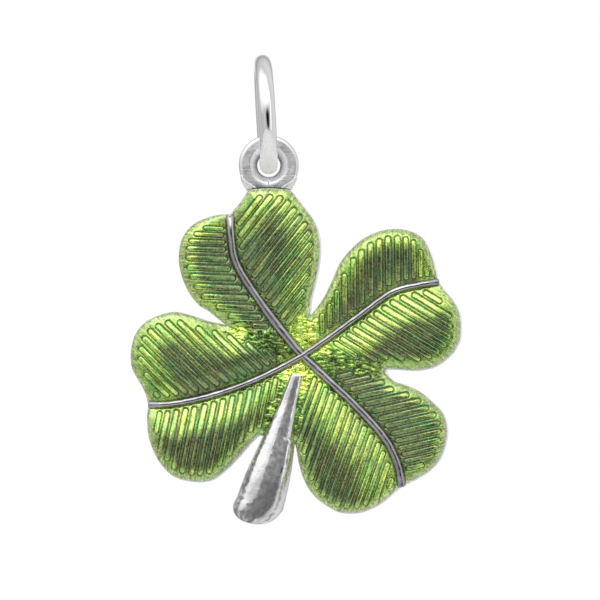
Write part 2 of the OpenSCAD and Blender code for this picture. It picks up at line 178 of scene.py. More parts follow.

# Where painted highlights make the plain enamel round the middle brightest, and how far that
# reaches
PAINTED_HIGHLIGHT_SPOTS = [((0.55, 1.15), 1.3), ((-0.3, -0.8), 0.85), ((-3.2, 1.1), 0.45),
                ((0.45, -1.4), 0.8)]
# Where painted shade makes it darkest, and how far that reaches
PAINTED_SHADE_SPOT = ((-1.75, 1.05), 1.1)
# Painted shadow on the top leaf just under the neck, down and to the left of the eyelet
NECK_SHADE = (0.12, 1.32)

# Stem from its upper end. Columns: share of STEM_LEN, share of STEM_D. The rest is its blunt end.
STEM = [(0, 0.26), (0.175, 0.37), (0.416, 0.62), (0.587, 0.81), (0.7, 0.92), (0.8, 0.98),
        (0.86, 1)]
STEM_END = 0.86
STEM_BLUNT = 2.4


# Lines in the plane of the clover

def spline(points, steps):
    """Smooth line through points, with a number of steps between each two."""
    p = np.array(points, float)
    last = len(p) - 1
    t = (np.arange(steps) / steps)[:, None]
    parts = []
    for i in range(last):
        a, b, c, d = p[max(i - 1, 0)], p[i], p[i + 1], p[min(i + 2, last)]
        parts.append(0.5 * (2 * b + (c - a) * t + (2 * a - 5 * b + 4 * c - d) * t * t
                            + (3 * b - a - 3 * c + d) * t ** 3))
    return np.vstack(parts + [p[-1:]])


def normals_left(line):
    """Unit normals of a line of points, to its left."""
    ends = np.vstack([line[:1], line, line[-1:]])
    along = ends[2:] - ends[:-2]
    along /= np.linalg.norm(along, axis=1)[:, None]
    return np.stack([-along[:, 1], along[:, 0]], 1)


def even(line, spacing):
    """The same line with its points about spacing apart, its ends kept."""
    steps = np.linalg.norm(np.diff(line, axis=0), axis=1)
    run = np.concatenate([[0], np.cumsum(steps)])
    at = np.linspace(0, run[-1], max(2, round(run[-1] / spacing) + 1))
    return np.stack([np.interp(at, run, line[:, 0]), np.interp(at, run, line[:, 1])], 1)


def distance_to(points, line):
    """Distance from each point to a line of points."""
    a, b = line[:-1], line[1:]
    ab = b - a
    ap = points[:, None] - a[None]
    share = np.clip((ap * ab).sum(2) / np.maximum((ab * ab).sum(1), 1e-12), 0, 1)
    return np.linalg.norm(ap - share[..., None] * ab, axis=2).min(1)


def distance_from(points, place):
    """Distance from each point to one place."""
    return np.linalg.norm(points - place, axis=1)


def inside(points, loop):
    """Which points lie inside a closed loop."""
    x, y = points[:, 0], points[:, 1]
    result = np.zeros(len(points), bool)
    for (x0, y0), (x1, y1) in zip(loop, np.roll(loop, -1, 0)):
        if y0 != y1:
            result ^= ((y0 > y) != (y1 > y)) & (x < (x1 - x0) * (y - y0) / (y1 - y0) + x0)
    return result


def leaf_length(leaf):
    return LEAVES[leaf][1] * LEAF_LEN


def half_width(leaf, side):
    return LEAVES[leaf][2 if side > 0 else 3] * LEAF_W


def half_edge(leaf, side, margin):
    """Edge of a half leaf from the cleft to the tip, in the half's own frame."""
    direction, share = CLEFTS[side][leaf]
    turn = radians(side * (direction - LEAVES[leaf][0]))
    reach = share * LEAF_LEN
    edge = spline(
        [(reach * cos(turn), reach * sin(turn))]
        + [(x * leaf_length(leaf), y * half_width(leaf, side)) for x, y in EDGES[side][leaf]]
        + [(leaf_length(leaf), 0)], 10)
    if margin:
        shifted = edge - margin * normals_left(edge)
        for end in (0, -1):
            shifted[end] = edge[end] * (1 - margin / np.linalg.norm(edge[end]))
        # Points that a tight corner has pushed too near the edge close up on the last good one
        near = distance_to(shifted, edge) < 0.99 * margin
        good = shifted[0]
        for i in range(len(shifted)):
            if near[i] and 0 < i < len(shifted) - 1:
                shifted[i] = good
            good = shifted[i]
        edge = shifted
    return edge


def midrib_line(leaf, side):
    """Middle line of a midrib from the clover's middle to the tip, in the half's own frame."""
    length = leaf_length(leaf)
    return spline([(0, 0)] + [(x * length, side * y * length) for x, y in BOWS[leaf]]
                  + [(length, 0)], 12)


def turned(x, y, angle):
    """Points turned about the middle, against the clock."""
    return np.stack([x * cos(angle) - y * sin(angle), x * sin(angle) + y * cos(angle)], 1)


def in_clover(points, leaf, side):
    """From a half leaf's own frame to the clover's, whose middle is where the midribs meet."""
    return turned(points[:, 0], side * points[:, 1], radians(LEAVES[leaf][0]))


def in_half(points, leaf, side):
    """From the clover's frame to a half leaf's own."""
    return turned(*points.T, -radians(LEAVES[leaf][0])) * (1, side)


def outline(margin):
    """Outline of the clover, against the clock, moved inwards by a margin."""
    parts = []
    for leaf in (TOP, LEFT, LOW, RIGHT):
        right = in_clover(half_edge(leaf, -1, margin), leaf, -1)
        left = in_clover(half_edge(leaf, 1, margin), leaf, 1)[::-1]
        parts += [right[:-1], left if leaf == LEFT else left[:-1]]
    return np.vstack(parts)


EYELET = in_clover(np.array([[1.1635 * leaf_length(TOP), 0.785 * half_width(TOP, -1)]]),
                   TOP, -1)[0]
WIRE_DROP = RING_D - 2 * WIRE_D + WIRE_D / 2


def hung(points):
    """From the clover lying face up to where it hangs, in metres."""
    points = np.asarray(points, float)
    return MM * np.stack([
        points[:, 0] - EYELET[0] + WIRE_DROP * sin(RING_LEAN),
        -points[:, 2],
        points[:, 1] - EYELET[1] - WIRE_DROP * cos(RING_LEAN)], 1)


# Meshes

# Points nearer than this in a filled loop are one point
SAME = 1e-6


def add_object(name, data):
    made = bpy.data.objects.new(name, data)
    bpy.context.scene.collection.objects.link(made)
    return made


def new_piece(name, points, faces, material, values=None):
    """A piece from points in metres and faces, with its values for each point."""
    mesh = bpy.data.meshes.new(name)
    mesh.from_pydata([tuple(p) for p in points], [], [tuple(f) for f in faces])
    for key, numbers in (values or {}).items():
        mesh.attributes.new(key, "FLOAT", "POINT").data.foreach_set(
            "value", np.asarray(numbers, np.float32))
    made = bmesh.new()
    made.from_mesh(mesh)
    bmesh.ops.remove_doubles(made, verts=made.verts, dist=1e-8)
    bmesh.ops.dissolve_degenerate(made, edges=made.edges, dist=1e-8)
    bmesh.ops.recalc_face_normals(made, faces=made.faces)
    made.to_mesh(mesh)
    made.free()
    mesh.shade_smooth()
    mesh.materials.append(material)
    return add_object(name, mesh)


def sharpen(piece, degrees):
    """Edges that bend more than an angle are drawn sharp."""
    piece.data.set_sharp_from_angle(angle=radians(degrees))
    return piece


def bridge(loops, count, first=0, ring=False):
    """Quads between loops of count points each. A ring closes on its first loop."""
    faces = []
    for j in range(loops if ring else loops - 1):
        here, there = first + j * count, first + (j + 1) % loops * count
        faces += [(here + i, here + (i + 1) % count, there + (i + 1) % count, there + i)
                  for i in range(count)]
    return faces


def mirrored(section):
    """A whole cross-section from its left half, the middle point included."""
    return section + [(-out, up) for out, up in section[-2::-1]]


def filled(loop):
    """Triangles that fill a closed loop of points in the plane."""
    count = len(loop)
    edges = [(i, (i + 1) % count) for i in range(count)]
    made = delaunay_2d_cdt([Vector(p) for p in loop], edges, [], 1, SAME)
    if len(made[0]) != count:
        raise ValueError("a line crosses or touches itself")
    return made[2]


# Outline of the stem, along which two of the fields end

def stem_half(share):
    """Half thickness of the stem at a share of its length, with a blunt round end."""
    if share < STEM_END:
        return STEM_D / 2 * float(np.interp(share, [s for s, _ in STEM], [d for _, d in STEM]))
    rest = min(1, (share - STEM_END) / (1 - STEM_END))
    return STEM_D / 2 * (1 - rest ** STEM_BLUNT) ** (1 / STEM_BLUNT)


STEM_TURN = radians(-90 - STEM_TILT)


def stem_side(leaf, side):
    """Side of the stem in a half leaf's frame, from its upper end towards the leaf's edge."""
    direction, share = CLEFTS[side][leaf]
    meet = (share * LEAF_LEN * cos(radians(direction) - STEM_TURN) - STEM_FROM) / STEM_LEN
    turn = STEM_TURN - side * pi / 2
    points = []
    for step in np.linspace(0, 1, 12):
        s = step * meet * 0.93
        reach, out = STEM_FROM + s * STEM_LEN, stem_half(s) * 0.97
        points.append((reach * cos(STEM_TURN) + out * cos(turn),
                       reach * sin(STEM_TURN) + out * sin(turn)))
    return in_half(np.array(points), leaf, side)


# Enamel

def dome(distance, width):
    """Rise from 0 at an edge to 1 at a width from it, round like a pillow."""
    return np.sqrt(1 - (1 - np.clip(distance / width, 0, 1)) ** 2)


def slope(distance, width):
    """Rise from 0 to 1 over a width, steepest at its foot."""
    return np.sin(pi / 2 * np.clip(distance / width, 0, 1))


def smooth(x):
    """Rise from 0 to 1, soft at both ends."""
    x = np.clip(x, 0, 1)
    return x * x * (3 - 2 * x)


def fading(distance, reach):
    """From 1 nearby to 0 past a reach."""
    return 1 - smooth((distance - 0.6 * reach) / (0.8 * reach)) if reach else 0 * distance


# Cross-section from the middle of a rib to halfway to the next one: a rounded top, a narrow
# groove and a strip of level enamel. Columns: share of the way, share of the rib's height
RIB = [(0, 1), (0.25, 0.99), (0.4, 0.94), (0.5, 0.8), (0.57, 0.45), (0.64, 0.06), (0.69, 0),
       (0.76, 0.2), (0.86, 0.46), (1, 0.52)]
RIB_LINES = [0, 0.26, 0.42, 0.52, 0.61, 0.7, 0.8, 1]
# Shortest straight part of a rib, spacing of the points between the ribs, least distance
# between points
SHORTEST = 0.05
GRID = 0.042
CLOSEST = 0.016
# Spacing of the points along a field's sides and along its ribs, and how far in from its
# sides further lines of points lie
ALONG = 0.06
FROM_SIDES = (0.012, 0.035, 0.07, 0.115, 0.17, 0.24, 0.32)


def rib_ends(t, lean, inner, outer, half, border):
    """Where the middles of a rib's round ends lie along it, or None if it has no room."""
    along = np.arange(-2, 9, 0.02)
    points = on_rib(t, along, lean)
    room = (inside(points, np.vstack([inner, outer[::-1]]))
            & (distance_to(points, inner) > STRIP_W + 0.7 * half)
            & (distance_to(points, outer) > border + 0.7 * half))
    if not room.any():
        return None
    return along[room].min(), along[room].max()


def on_rib(across, along, lean):
    """Points at distances across the ribs and along them."""
    return turned(along, -across * np.ones(len(along)), lean)


def from_rib(points, lean):
    """How far points lie across the ribs and along them."""
    along, across = turned(*points.T, -lean).T
    return -across, along


def rib_share(points, ribs, lean):
    """How far each point is from the nearest rib's middle, as a share of the way to the next."""
    share = np.full(len(points), 9.0)
    across, along = from_rib(points, lean)
    for t, half, a, b in ribs:
        past = np.maximum(0, np.maximum(a - along, along - b))
        share = np.minimum(share, np.hypot(across - t, past) / half)
    return share


def enamel_edge(leaf, side):
    """Outer edge of a field. More of the rim shows on the right, below and in one cleft."""
    edge = half_edge(leaf, side, ENAMEL_EDGE)
    out = normals_left(half_edge(leaf, side, 0))
    shown = RIM_SHOWN * np.clip(out @ in_half(np.array([[0.8, -0.6]]), leaf, side)[0], 0, 1)
    at_cleft = 0.04
    if (leaf, side) in ((RIGHT, -1), (LOW, 1)):
        shown += 0.05 * np.exp(-(distance_from(edge, edge[0]) / 0.3) ** 2)
        at_cleft = 0.12
    moved = edge - shown[:, None] * out
    moved[0] = edge[0] * (1 - at_cleft / np.linalg.norm(edge[0]))
    return moved


def field_sides(leaf, side, edge):
    """Sides of a field along the midrib and along the edge, and its side along the stem."""
    midrib = midrib_line(leaf, side)
    inner = midrib + (MIDRIB_W / 2 - 0.03) * normals_left(midrib)
    outer = [np.array([[0.0, 0.0]]), edge]
    stem_line = None
    if (leaf, side) in ((LEFT, 1), (LOW, -1)):
        # The two fields beside the stem meet on its middle line, just under its upper end
        reach = STEM_FROM + 0.08
        top = np.array([[reach * cos(STEM_TURN), reach * sin(STEM_TURN)]])
        stem_line = stem_side(leaf, side)
        outer[1:1] = [in_half(top, leaf, side), stem_line]
    inner, outer = even(inner, ALONG), even(np.vstack(outer), ALONG)
    # Both sides stop short of the corners where they would cross
    half_leaf = np.vstack([outer, midrib[::-1]])
    inner = inner[inside(inner, half_leaf) & (distance_to(inner, outer) > 0.03)]
    outer = outer[distance_to(outer, midrib) > MIDRIB_W / 2 - 0.02]
    return inner, outer, stem_line


def field_points(ribs, lean, inner, outer, loop):
    """Points of a field's top: along the ribs' outlines, in from its sides, evenly elsewhere."""
    sets = []
    for t, half, a, b in ribs:
        run = np.arange(a, b + ALONG / 2, ALONG)
        for q in RIB_LINES:
            for way in ((1, -1) if q else (1,)):
                sets.append(on_rib(t + way * q * half, run, lean))
            if q:
                turns = np.radians(np.linspace(-80, 80, 9 if q < 0.6 else 13))
                for end, way in ((a, -1), (b, 1)):
                    sets.append(on_rib(t + q * half * np.sin(turns),
                                       end + way * q * half * np.cos(turns), lean))
    for line, way in ((inner, 1), (outer, -1)):
        n = way * normals_left(line)
        for d in FROM_SIDES:
            moved = line + d * n
            sets.append(moved[(distance_to(moved, inner) > 0.97 * d)
                              & (distance_to(moved, outer) > 0.97 * d)])
    low, high = loop.min(0), loop.max(0)
    grid = np.stack(np.meshgrid(np.arange(low[0], high[0], GRID),
                                np.arange(low[1], high[1], GRID)), -1).reshape(-1, 2)
    grid += 0.012 * np.sin(grid[:, ::-1] * 77.7)
    sets.append(grid[rib_share(grid, ribs, lean) > 1.08])
    points = np.vstack(sets)
    points = points[inside(points, loop)]
    points = points[np.minimum(distance_to(points, inner), distance_to(points, outer)) > 0.009]
    _, first_of = np.unique(np.round(points / CLOSEST).astype(int), axis=0, return_index=True)
    return points[np.sort(first_of)]


def enamel_field(name, node, leaf, side, lean, border, by_midrib, by_rim, middles, light):
    """A field of enamel: its pillowed top with the ribs, its walls and its flat underside."""
    lean = radians(lean)
    edge = enamel_edge(leaf, side)
    inner, outer, stem_line = field_sides(leaf, side, edge)

    # Ribs: middle, half width, where each of the two round ends lies
    ribs = []
    for i, t in enumerate(middles):
        before, after = middles[max(i - 1, 0)], middles[min(i + 1, len(middles) - 1)]
        half = (after - before) / (4 if 0 < i < len(middles) - 1 else 2)
        ends = rib_ends(t, lean, inner, outer, half, border)
        if ends is not None and ends[1] - ends[0] > SHORTEST:
            ribs.append((t, half, *ends))

    loop = np.vstack([inner, outer[::-1]])
    n = len(loop)
    all_points = np.vstack([loop, field_points(ribs, lean, inner, outer, loop)])
    loop_edges = [(i, (i + 1) % n) for i in range(n)]
    cdt = delaunay_2d_cdt([Vector(p) for p in all_points], loop_edges, [], 1, 1e-7)
    flat = np.array([tuple(p) for p in cdt[0]])
    triangles = [tuple(f) for f in cdt[2]]

    # Heights: a valley at the midrib, a slope up to the crest and a rounder one to the rim
    d_in, by_edge = distance_to(flat, inner), distance_to(flat, edge)
    d_cleft = distance_to(flat, np.array([[0.0, 0.0], edge[0]]))
    if stem_line is not None:
        d_cleft = np.minimum(d_cleft, distance_to(flat, stem_line))
    height = CROWN_H * slope(d_in + 0.06, by_midrib) * dome(by_edge, by_rim)
    height *= 0.5 + 0.5 * smooth(d_cleft / 1.3)
    share = rib_share(flat, ribs, lean)
    rib = np.interp(share, [q for q, _ in RIB], [h for _, h in RIB])
    nearness = smooth(np.minimum(d_in, by_edge) / 0.1)
    past = smooth((share - 1) / 0.3)
    plain = past * smooth((4.5 - np.hypot(*flat.T)) / 0.8) * smooth((by_edge - 0.16) / 0.2)
    places = in_clover(flat, leaf, side)
    ripple = np.array([noise((3.2 * u - v, 9.5 * v + 1.2 * u, 3.7))
                       + 0.5 * noise((11.0 * u, 11.0 * v, 8.1)) for u, v in places])
    height += nearness * (RIB_H * rib + RIPPLE_H * ripple * plain)
    tops = np.column_stack([places, RIM_Z - VALLEY + height])

    # Closed down to the floor of the casting
    below = len(tops)
    on_base = np.column_stack([in_clover(loop, leaf, side), np.full(n, FLOOR_Z + GAP)])
    walls = [(i, (i + 1) % n, below + (i + 1) % n, below + i) for i in range(n)]
    base = [tuple(below + i for i in f) for f in filled(loop)]

    # Painted highlight and shade: lighter by the midrib and the edge, in streaks and near the
    # eyelet, a painted shadow under the neck, and painted bright and dark spots in the middle
    across, along = from_rib(flat, lean)
    lit = np.maximum(light[1] * fading(d_in, light[0]), light[3] * fading(by_edge, light[2]))
    lit += 0.3 * np.array([noise((2.6 * t, 0.7 * u, 5.0 * leaf + side))
                           for t, u in zip(across, along)])
    lit += 0.5 * fading(distance_from(places, EYELET), 2.2)
    lit -= np.exp(-(distance_from(places, EYELET - NECK_SHADE) / 0.22) ** 2)
    spots = [fading(distance_from(places, spot), reach) for spot, reach in PAINTED_HIGHLIGHT_SPOTS]
    lit += plain * (np.max(spots, axis=0) - lit)
    shade = 0.3 * fading(distance_from(places, PAINTED_SHADE_SPOT[0]), PAINTED_SHADE_SPOT[1])
    # The rib's relief, the middle's stipple less painted shade, and painted light beside the
    # midrib
    level = rib + (0.9 * ripple - shade) * plain + 0.45 * fading(d_in, 0.1)
    values = {"rib": level, "from_edge": by_edge, "lit": lit, "plain": plain,
              "across": across + 10 * leaf + 40 * side, "along": along}
    piece = new_piece(name, hung(np.vstack([tops, on_base])), triangles + walls + base,
                      green_enamel,
                      {key: np.concatenate([v, np.zeros(n)]) for key, v in values.items()})
    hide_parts(node)
    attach(piece, "clover")
    return piece


# Casting

def cast_piece(name, points, faces, material, values):
    """A piece of the silver casting, from points of the clover lying face up."""
    piece = new_piece(name, hung(points), faces, material, values)
    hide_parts("clover_casting")
    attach(piece, "clover")
    return piece


# Cross-section of the silver under the enamel, from its back round the rim to its floor.
# Columns: distance in from the outline, height above the middle level
TRAY = [(0.16, BACK_Z), (0.09, BACK_Z + 0.008), (0.04, BACK_Z + 0.035), (0.01, BACK_Z + 0.08),
        (0, BACK_Z + 0.13), (0, 0), (0, RIM_Z - 0.16), (0.006, RIM_Z - 0.11),
        (0.022, RIM_Z - 0.075), (0.05, RIM_Z - 0.06), (0.09, RIM_Z - 0.065),
        (0.12, RIM_Z - 0.09), (RIM_W, RIM_Z - 0.14), (RIM_W, FLOOR_Z)]


def leaf_tray():
    """Back, rim and floor of the four leaves, under their enamel."""
    loops = [outline(margin) for margin, _ in TRAY]
    count = len(loops[0])
    points = np.vstack([np.column_stack([loop, np.full(count, z)])
                        for loop, (_, z) in zip(loops, TRAY)])
    faces = bridge(len(TRAY), count)
    for j in (0, len(TRAY) - 1):
        # Points that repeat the one before them are left out of the back and the floor
        steps = np.diff(loops[j], axis=0, prepend=loops[j][-1:])
        kept = np.flatnonzero(np.linalg.norm(steps, axis=1) > SAME)
        faces += [tuple(j * count + kept[i] for i in f) for f in filled(loops[j][kept])]
    # Painted shade near the eyelet, where the neck meets the top leaf; the front of the rim
    # frosted, lighter and matte
    painted_dark = 0.8 * smooth((1.5 - distance_from(points[:, :2], EYELET)) / 0.1)
    frost_and_highlight = 0.6 * smooth((points[:, 2] + 0.1) / 0.4)
    return cast_piece("clover_tray", points, faces, satin_silver,
                      {"painted_dark": painted_dark, "frost_and_highlight": frost_and_highlight})


# Cross-section of a midrib, smooth and nearly flat on top, from its left foot to its middle.
# Columns: share of its width aside, share of its height above the rim
MIDRIB = mirrored([(-0.5, -1.2), (-0.49, -0.3), (-0.45, 0.25), (-0.37, 0.62), (-0.26, 0.86),
                   (-0.12, 0.98), (0, 1)])
MIDRIB_STEP = 0.07
# Burr on the upright midrib and the place where it is broadest, from where the two meet
BURR = (-2.65, 4.12)
SWELL = (-1.35, 1.49)


def midrib(name, start, end, lift, broad):
    """Two midribs in one, from the tip of a leaf through the middle to the tip across it."""
    line = np.vstack([in_clover(midrib_line(start, 1), start, 1)[::-1],
                      in_clover(midrib_line(end, 1), end, 1)[1:]])
    line = even(line, MIDRIB_STEP)
    aside = normals_left(line)
    steps = len(line)
    ends = np.minimum(np.arange(steps), np.arange(steps)[::-1]) * MIDRIB_STEP
    swell = 0.25 * np.exp(-(distance_from(line, SWELL) / 1.1) ** 2)
    width = MIDRIB_W * (broad + swell - 0.1 * smooth(ends))
    width *= 0.5 + 0.5 * np.sqrt(np.clip(ends / 0.2, 0, 1))
    height = MIDRIB_H * (0.45 + 0.55 * smooth(ends / 0.7)) + lift
    burr = np.exp(-(distance_from(line, BURR) / 0.11) ** 2)
    points = []
    for i in range(steps):
        for out, up in MIDRIB:
            wave = 0.012 * noise((i * 0.21, out * 2.3, 7.7 + start))
            spur = burr[i] * smooth(0.5 - 2 * out)
            p = line[i] + aside[i] * (out * width[i] + wave - 0.13 * spur)
            points.append((*p, RIM_Z + up * height[i] + wave + 0.08 * spur))
    sides = len(MIDRIB)
    faces = bridge(steps, sides)
    faces += [tuple(range(sides)), tuple((steps - 1) * sides + i for i in range(sides))]
    # Painted shade along the midrib's feet, fading towards its top
    foot = 1 - smooth((np.tile([up for _, up in MIDRIB], steps) - 0.3) / 0.6)
    return cast_piece(name, points, faces, midrib_silver, {"painted_dark": foot})


# Duller bands along the stem, darkened as painted dark reflections. Columns: how far aside as a
# share of the half width, how far it moves aside towards the end, half width, how strong,
# softness of the edges, share of the stem's length where it starts
DULL_DARK_BANDS = [(0.18, -0.42, 0.38, 1, 0.04, 0), (-0.82, 0, 0.09, 0.9, 0.05, 0),
        (0.7, 0, 0.05, 0.8, 0.05, 0.42), (0.6, -0.1, 0.17, 0.4, 0.1, 0.62)]
# Seam across the right side of the stem: share of its length where it lies, height of the step
SEAM = 0.405
SEAM_H = 0.11
# How far the end leans to the left
END_LEAN = 0.3


def squared(share):
    """Sine or cosine for a round section that is a little flattened towards its four sides."""
    return copysign(abs(share) ** 0.76, share)


def dull_and_dark(s, out):
    """How much rougher the stem is, and darker with painted dark reflections, at a share of its
    length and of its half width aside.
    """
    wavy = 0.08 * noise((s * 9, 2 * out, 1.3)) + 0.1 * noise((s * 45, 7 * out, 5.1))
    late = smooth((s - 0.78) / 0.22)
    bands = []
    for at, move, width, most, soft, start in DULL_DARK_BANDS:
        within = width * (1 + 0.3 * late) + wavy - abs(out - at - move * late)
        bands.append(most * smooth(within / soft) * smooth((s - start) / 0.05))
    return float(max(bands)) * (0.9 + 0.5 * noise((s * 38, 6 * out, 9.2)))


def stem():
    """Stem, a long cone with a blunt end, flat at its back, with a soft step on its right."""
    axis_top = RIM_Z + STEM_TOP_H - stem_half(0)
    axis_low = RIM_Z + STEM_LOW_H - STEM_D / 2
    fall = (axis_top - axis_low) / (STEM_LEN * STEM_END)
    shares = np.concatenate([np.linspace(0, 0.84, 130),
                             1 - 0.16 * np.cos(np.linspace(0, pi / 2, 30)[1:]) ** 1.4])
    around = 160
    ahead = np.array([cos(STEM_TURN), sin(STEM_TURN)])
    aside = np.array([-ahead[1], ahead[0]])
    points, darkening = [(*(ahead * STEM_FROM), axis_top)], [0]
    for s in shares:
        r = stem_half(s)
        if s < 0.02:
            r *= 0.93 + 0.07 * sqrt(s / 0.02)
        rest = float(np.clip((s - STEM_END) / (1 - STEM_END), 0, 1))
        thick = STEM_D / 2 * (1 - rest ** 7) ** (1 / 7) if rest else r
        middle = ahead * (STEM_FROM + s * STEM_LEN) - aside * END_LEAN * rest
        z = axis_top - fall * s * STEM_LEN
        for k in range(around):
            turn = 2 * pi * k / around
            right = smooth((sin(turn) - 0.1) / 0.5) * smooth((cos(turn) + 0.3) / 0.5)
            seam = SEAM + 0.006 * noise((7 * sin(turn), 0.5, 2.5))
            step = SEAM_H * right * (smooth((s - seam) / 0.008) - 0.8 * smooth((s - 0.5) / 0.4))
            place = Vector((sin(turn), cos(turn), s * 4))
            rough = 0.014 * noise(2.5 * place) + 0.004 * noise(9 * place)
            more = step + rough * (r > 0.2)
            out, up = squared(sin(turn)), squared(cos(turn))
            p = middle + aside * (r + more) * out
            points.append((*p, max(z + (thick + more) * up, BACK_Z + BACK_IN)))
            # Painted dark reflections in bands on the stem's front
            darkening.append(dull_and_dark(s, out) * (up > 0))
    faces = bridge(len(shares), around, 1)
    faces += [(0, 1 + (i + 1) % around, 1 + i) for i in range(around)]
    faces.append(tuple(1 + (len(shares) - 1) * around + i for i in range(around)))
    piece = cast_piece("clover_stem", points, faces, polished_silver, {"painted_dark": darkening})
    return sharpen(piece, 50)


# Bevel of the eyelet's hole, worn a little upwards: how far its middle lies above the hole's
# and its radius. Columns of the profile: share of the way out, drop as a share of BEVEL_T.
WORN_UP = 0.07
WORN_R = 0.94
BEVEL = [(0, 1.6), (0.1, 1.3), (0.22, 1.0), (0.34, 0.78), (0.47, 0.58), (0.6, 0.4), (0.72, 0.24),
         (0.84, 0.11), (0.93, 0.03), (1, 0)]


def eyelet():
    """Eyelet with a rounded outer edge, a deep bevel and a small mark below its hole."""
    hole, outer, top = HOLE_D / 2 + 0.015, EYELET_D / 2, EYELET_T / 2
    around = 240
    points, painted_dark, frost_and_highlight = [], [], []
    for k in range(around):
        turn = 2 * pi * k / around
        out_x, out_y = cos(turn), sin(turn)
        worn = WORN_UP * out_y + sqrt(WORN_R ** 2 - (WORN_UP * out_x) ** 2)
        front = [(hole + u * (worn - hole), top - BEVEL_T * drop) for u, drop in BEVEL]
        front += [(r, top) for r in (1.03, 1.07, 1.11, 1.15, 1.19, 1.23, 1.28)]
        edge = [(outer - 0.17, top), (outer - 0.11, top - 0.01), (outer - 0.065, top - 0.032),
                (outer - 0.03, top - 0.075), (outer - 0.008, top - 0.14), (outer, top - 0.24)]
        back = [(r, -z) for r, z in reversed(edge)]
        back += [(hole + BEVEL_W, -top), (hole + 0.1, -top + 0.06), (hole, -top + BEVEL_T)]
        for r, z in front + edge + back:
            x, y = r * out_x, r * out_y
            # Painted shade in the bevel, deepest near the hole and heavier on its upper side
            dark = float(smooth((0.6 - (r - hole) / (worn - hole)) / 0.4)) if z < top else 0
            dark *= 0.65 + 0.35 * out_y
            bright = 0
            if z > 0:
                # Uneven front, with the worn mark below the hole and the step down to the leaf
                z += 0.008 * noise((x * 2.2, y * 2.2, 4.4))
                mark = 0.16 * (worn - r) / (worn - hole)
                if y < 0 and mark > 0:
                    z -= 0.09 * max(0, 1 - abs(abs(x) - mark) / 0.04)
                    dark *= 1 - float(smooth((mark - abs(x)) / 0.02))
                    # Painted highlight along the edges of the mark
                    bright = 0.8 * max(0, 1 - abs(abs(x) - mark - 0.02) / 0.05)
                z -= 0.3 * float(smooth((arch(x, -1.21) - y) / 0.05))
            points.append((EYELET[0] + x, EYELET[1] + y, z))
            painted_dark.append(dark if r < worn else 0)
            frost_and_highlight.append(bright)
    faces = bridge(around, len(points) // around, ring=True)
    piece = cast_piece("clover_eyelet", points, faces, satin_silver,
                       {"painted_dark": painted_dark, "frost_and_highlight": frost_and_highlight})
    return sharpen(piece, 40)


# Neck under the eyelet. Columns: how far below the eyelet's middle, half width of the raised
# middle, half width, share of the arch of the leaf's edge, drop of the top
NECK = [(-0.5, 1.36, 1.41, 0, 0), (-0.66, 1.3, 1.42, 0, 0), (-0.79, 1.19, 1.37, 0, 0),
        (-0.95, 0.96, 1.28, 0.4, 0), (-1.12, 0.78, 1.19, 1, 0), (-1.2, 0.7, 1.14, 1, 0.01),
        (-1.23, 0.68, 1.13, 1, 0.1), (-1.28, 0.66, 1.1, 1, 0.2), (-1.5, 0.6, 1.0, 1, 0.2)]
ARCH_H = 0.13
ARCH_W = 2.28
# Radius round the eyelet's middle inside which the neck keeps out
CLEAR_R = 1.06


def arch(x, y):
    """Height of the arch where the neck meets the leaf, at x, with its ends at y."""
    return y + ARCH_H * (1 - (2 * x / ARCH_W) ** 2)


def neck():
    """Neck between the eyelet and the top leaf, with a slanted facet at each side."""
    top = EYELET_T / 2
    points, painted_dark, frost_and_highlight = [], [], []
    for y, raised, half, bend, drop in NECK:
        rest = half - raised
        across = [(-half, -0.38), (-half + 0.04, -0.14), (-raised - 0.5 * rest, -0.07),
                  (-raised - 0.06, -0.03), (-raised - 0.02, 0.06), (-raised + 0.02, 0.065),
                  (-raised + 0.07, 0.012)]
        across = mirrored(across + [(-raised * q, 0.012) for q in (0.75, 0.5, 0.25, 0)])
        section = [(x, top + z - drop) for x, z in across]
        section += [(x, BACK_IN - top) for x, _ in across[::-1]]
        for x, z in section:
            # The neck stays clear of the bevel
            clear = -sqrt(max(0, CLEAR_R ** 2 - x * x))
            points.append((EYELET[0] + x,
                           EYELET[1] + min(y + bend * (arch(x, y) - y), clear), z))
            # Painted shadow along the step down to the leaf, and painted highlights on the raised
            # ridges and on the slanted facets
            painted_dark.append(0.7 * (drop > 0.05 and abs(x) < 1))
            facet = 0.35 if drop < 0.05 and 0 < z < top - 0.02 else 0
            frost_and_highlight.append(0.9 if z > top + 0.04 else facet)
    sides = len(points) // len(NECK)
    faces = bridge(len(NECK), sides)
    for start in (0, (len(NECK) - 1) * sides):
        faces += [(start + i, start + i + 1, start + sides - 2 - i, start + sides - 1 - i)
                  for i in range(sides // 2 - 1)]
    piece = cast_piece("clover_neck", points, faces, satin_silver,
                       {"painted_dark": painted_dark, "frost_and_highlight": frost_and_highlight})
    return sharpen(piece, 30)


# Jump ring

